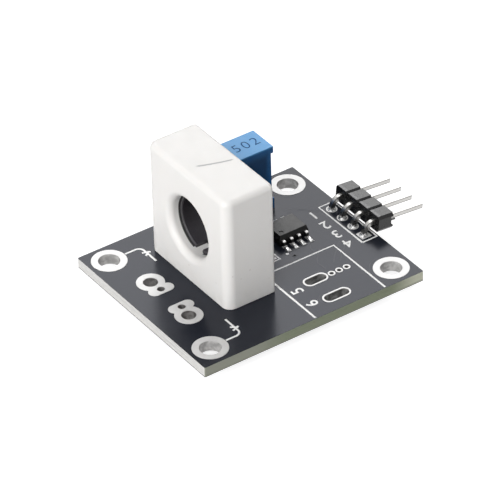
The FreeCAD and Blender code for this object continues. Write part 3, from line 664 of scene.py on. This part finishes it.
def spun(name, section, x, y, steps):
    """A mesh of a section, in millimetres out and up, spun about a place on the board."""
    made = bmesh.new()
    middle = Vector((x, y, top)) * mm
    verts = [made.verts.new(middle + Vector((r * mm, 0, z * mm))) for r, z in section]
    edges = [made.edges.new(pair) for pair in zip(verts, verts[1:])]
    bmesh.ops.spin(made, geom=verts + edges, cent=middle, axis=(0, 0, 1), angle=2 * math.pi,
                   steps=steps, use_merge=True)
    bmesh.ops.remove_doubles(made, verts=made.verts, dist=1e-7)
    bmesh.ops.holes_fill(made, edges=made.edges, sides=0)
    bmesh.ops.recalc_face_normals(made, faces=made.faces)
    put_in_order(made)
    return mesh_from(name, made)


def row(middle, pitch, count):
    """Evenly pitched places about a middle."""
    return [middle + (index - (count - 1) / 2) * pitch for index in range(count)]


def arc(x, y, r, start, end, steps=10):
    """Points along an arc, with its angles in degrees."""
    turns = [math.radians(start + (end - start) * k / steps) for k in range(steps + 1)]
    return [(x + r * math.cos(t), y + r * math.sin(t)) for t in turns]


def box_line(low_x, low_y, high_x, high_y):
    """A closed run of points round a box."""
    return [(low_x, low_y), (high_x, low_y), (high_x, high_y), (low_x, high_y), (low_x, low_y)]


def printed_lines(name, runs, width, height, finish, level=top):
    """Flat lines of ink or track along runs of points on the board, with a low rounded section."""
    curve = bpy.data.curves.new(name, "CURVE")
    curve.dimensions = "3D"
    curve.bevel_depth = width / 2 * mm
    curve.bevel_resolution = 2
    curve.use_fill_caps = True
    for run in runs:
        spline = curve.splines.new("POLY")
        spline.points.add(len(run) - 1)
        for point, (x, y) in zip(spline.points, run):
            point.co = (x * mm, y * mm, 0, 1)
    mesh = mesh_of(curve)
    mesh.transform(Matrix.Translation((0, 0, level * mm)) @ Matrix.Diagonal((1, 1, 2 * height / width, 1)))
    return place_mesh(name, smoothed(mesh), finish)


def printed_dot(name, x, y, inner_r, outer_r, height, finish):
    """A low round ring or dot on the board, whose foot is just under the mask's face."""
    foot = -0.004
    shoulder_r = (inner_r + 3 * outer_r) / 4
    section = [(inner_r, foot), (inner_r, height), (shoulder_r, height * 0.9), (outer_r, foot)]
    return place_mesh(name, smoothed(spun(name, section, x, y, steps=24), level_flat=True), finish)


def numeral(text, x, y, turn, level, thickness, weight=0.03, spacing=1.0):
    """A plain numeral as a mesh, centred on a point and turned about Z."""
    curve = bpy.data.curves.new("numeral", "FONT")
    curve.body = text
    curve.size = numeral_size * mm
    curve.extrude = thickness / 2 * mm
    curve.offset = weight * mm
    curve.space_character = spacing
    curve.align_x = "CENTER"
    curve.align_y = "CENTER"
    mesh = mesh_of(curve)
    turned = Matrix.Rotation(math.radians(turn), 4, "Z")
    mesh.transform(Matrix.Translation((x * mm, y * mm, level * mm)) @ turned)
    return mesh


# Printing and tracks

def board_print():
    """White lines: the terminal's box, the header's box, a small part's box and the lead symbols."""
    printed_lines("silk_outlines", [
        [(0.15, -3.24), (11.87, -3.24), (11.87, -15.3)],
        [(0.15, -3.24), (0.15, -15.3)],
        box_line(15.45, -5.12, 17.96, 5.23),
        box_line(0.9, -1.42, 4.08, 1.55),
    ], silk_width, silk_height, silk)
    # Each symbol is a line that turns a corner, with two short strokes across it
    symbols = []
    for side, start_y in ((1, 12.33), (-1, -12.18)):
        bend = arc(-10.75, start_y - side * 0.9, 0.9, 90 * side, 0)
        symbols.append([(-12.45, start_y)] + bend + [(-9.86, start_y - side * 3.9)])
        middle_y = start_y - side * 1.55
        symbols.append([(-10.45, middle_y + side * 0.35), (-9.3, middle_y - side * 0.1)])
        symbols.append([(-10.35, middle_y - side * 0.55), (-9.45, middle_y + side * 0.15)])
    printed_lines("silk_symbols", symbols, silk_width, silk_height, silk)
    numerals = [numeral(text, x, y, turn, level=top + 0.006, thickness=0.024) for text, x, y, turn in (
        ("1", 13.7, 4.2, 180),
        ("2", 13.7, 1.35, 180),
        ("3", 13.7, -1.3, 180),
        ("4", 13.7, -3.95, 180),
        ("5", 1.75, -8.9, 90),
        ("6", 1.75, -12.4, 90),
    )]
    joined("silk_numerals", numerals, silk)
    printed_dot("silk_dot", 5.56, -1.09, inner_r=0.0, outer_r=0.27, height=0.016, finish=silk)


def tracks():
    """Copper under the mask: faint raised lines, rims round some pads, and one small via, whose hole is a
    black disc of painted shade.
    """
    printed_lines("mask_over_tracks", [
        [(13.1, -2.95), (11.39, -4.52), (10.3, -5.6), (9.56, -6.51)],
        [(13.1, -4.25), (11.5, -5.73), (10.9, -6.3), (10.49, -6.76)],
        [(8.95, -3.75), (8.18, -4.48), (7.67, -5.32), (7.79, -6.97)],
        [(9.9, -0.9), (9.41, -1.2), (8.9, -1.9), (8.85, -3.0)],
        [(11.2, 7.62), (11.9, 7.40), (12.66, 7.11), (13.31, 6.3), (14.28, 5.25), (15.2, 4.5)],
        [(11.1, 6.98), (12.0, 6.70), (12.84, 6.33), (13.8, 5.4), (14.6, 4.6), (15.2, 4.1)],
    ], track_width, track_height, ridge, top - track_sunk)
    mount_rims = [arc(mount_x, -mount_y, mount_rim_r, 95, 215, steps=24),
                  arc(mount_x, mount_y, mount_rim_r, 150, 265, steps=24)]
    slot_rims = [arc(slot_start_x, y, slot_rim_r, 120, 215, steps=16) for y in slot_middles_y]
    printed_lines("mask_rims", mount_rims + slot_rims, rim_width, rim_height, ridge, top - rim_sunk)
    via_x = 6.15
    via_y = -2.01
    printed_dot("via_rim", via_x, via_y, inner_r=0.20, outer_r=0.36, height=0.02, finish=ridge)
    # Painted shade: a black disc stands for the via's open hole
    printed_dot("via_hole_shade", via_x, via_y, inner_r=0.0, outer_r=0.21, height=0.012, finish=painted_via_shade)


def trimmer_print():
    """A plain value code on the trimmer's top."""
    level = trimmer_high.z / mm + 0.004
    code = numeral("502", 7.55, 11.35, 0, level, thickness=0.016, weight=-0.03, spacing=1.25)
    joined("trimmer_numerals", [code], ink)


# Solder

def pin_solder():
    """Concave cones of solder round the header's pins, where they come up through the board."""
    section = [(0.30, 0.0), (0.30, 0.50), (0.38, 0.30), (0.47, 0.17), (0.58, 0.10), (0.64, 0.05),
               (0.64, 0.0)]
    cones = [smoothed(spun("pin_solder", section, header_row_x, y, steps=28))
             for y in row(0, header_pitch, header_pins)]
    joined("header_pin_solder", cones, smeared_solder)


def solder_mound(foot_x, end_y, side):
    """Solder that wets one foot of the chip and runs out to its pad's end."""
    half_width = 0.28
    length = 1.05
    foot = top + 0.045
    made = bmesh.new()
    bmesh.ops.create_cube(made, size=1.0)
    bmesh.ops.subdivide_edges(made, edges=made.edges, cuts=7, use_grid_fill=True)
    for vert in made.verts:
        # Shares: across the pad from its middle, along it from its end, and up
        across = vert.co.x * 2
        along = vert.co.y + 0.5
        high = vert.co.z + 0.5
        # Thin at its end, it swells up to the foot and falls away to its sides
        swell = min(along / 0.55, 1.0)
        crown = 0.05 + 0.20 * swell ** 1.6 * (1 - 0.55 * across * across)
        narrow = 1 - 0.18 * (1 - swell) ** 2
        vert.co = Vector((foot_x + across * half_width * narrow, end_y - side * along * length,
                          foot + high * crown)) * mm
    bmesh.ops.recalc_face_normals(made, faces=made.faces)
    return smoothed(mesh_from("solder_mound", made))


def chip_solder():
    """The mounds at all eight feet, smeared on the near side and bright on the far one."""
    for side, name, finish in (
            (-1, "chip_solder_near", smeared_solder),
            (1, "chip_solder_far", finishes["solder"])):
        mounds = [solder_mound(x, chip_y + side * chip_pad_end, side)
                  for x in row(chip_x, chip_pitch, chip_leads_a_side)]
        joined(name, mounds, finish)


# Floor and light

def make_floor():
    """A pale floor that shows as white to the camera and keeps the module's shadow."""
    f = Finish("floor_white", grey(0.45), 0.8)
    path = f.add("ShaderNodeLightPath")
    seen = f.larger(path.outputs["Is Camera Ray"],
                    f.larger(path.outputs["Is Glossy Ray"], path.outputs["Is Transmission Ray"]))
    f.set(f.shader, "Emission Color", (1, 1, 1, 1))
    f.set(f.shader, "Emission Strength", f.times(seen, floor_glow))
    made = bmesh.new()
    bmesh.ops.create_grid(made, x_segments=1, y_segments=1, size=1.5,
                          matrix=Matrix.Translation((0, 0, cad_low.z)))
    mesh = mesh_from("floor", made)
    mesh.materials.append(f.material)
    floor = bpy.data.objects.new("floor", mesh)
    bpy.context.scene.collection.objects.link(floor)


def make_world():
    """An even pale surround, white to the camera, with dimmer walls in reflections."""
    world = bpy.data.worlds.new("studio")
    bpy.context.scene.world = world
    world.use_nodes = True
    w = Nodes(world.node_tree)
    path = w.add("ShaderNodeLightPath")
    gloss = path.outputs["Is Glossy Ray"]
    seen = w.larger(path.outputs["Is Camera Ray"], path.outputs["Is Transmission Ray"])
    split = w.add("ShaderNodeSeparateXYZ")
    w.set(split, "Vector", w.add("ShaderNodeTexCoord").outputs["Generated"])
    walls = w.remap(split.outputs["Z"], 0.10, 0.50, wall_in_gloss, sky_in_gloss)
    fill = w.times(w.minus(w.minus(1.0, seen), gloss), world_fill)
    background = w.tree.nodes["Background"]
    w.set(background, "Color", (1, 1, 1, 1))
    w.set(background, "Strength", w.plus(w.maths("MULTIPLY_ADD", gloss, walls, seen), fill))


def softbox(name, direction, distance, width, height, radiance):
    """A flat lamp that faces the module, whose face has a stated radiance."""
    data = bpy.data.lights.new(name, "AREA")
    data.shape = "RECTANGLE"
    data.size = width
    data.size_y = height
    data.energy = radiance * math.pi * width * height
    lamp = bpy.data.objects.new(name, data)
    bpy.context.scene.collection.objects.link(lamp)
    aim = Vector(direction).normalized()
    lamp.location = aim * distance
    lamp.rotation_mode = "QUATERNION"
    lamp.rotation_quaternion = aim.to_track_quat("Z", "Y")
    lamp.visible_camera = False


board_print()
tracks()
trimmer_print()
pin_solder()
chip_solder()
make_camera()
make_floor()
make_world()
softbox("softbox_back", (0.45, 0.67, 0.60), distance=0.9, width=0.70, height=0.50, radiance=2.9)
softbox("softbox_front", (-0.80, -0.30, 0.62), distance=0.8, width=0.42, height=0.42, radiance=6.4)
softbox("softbox_low", (-1.0, -0.45, 0.22), distance=0.9, width=0.50, height=0.25, radiance=5.4)
softbox("softbox_side", (-0.60, -0.78, 0.28), distance=0.9, width=0.36, height=0.30, radiance=2.3)
softbox("softbox_top", (0.05, 0.10, 1.0), distance=0.9, width=0.50, height=0.50, radiance=2.6)

bpy.context.scene.view_settings.view_transform = "Standard"
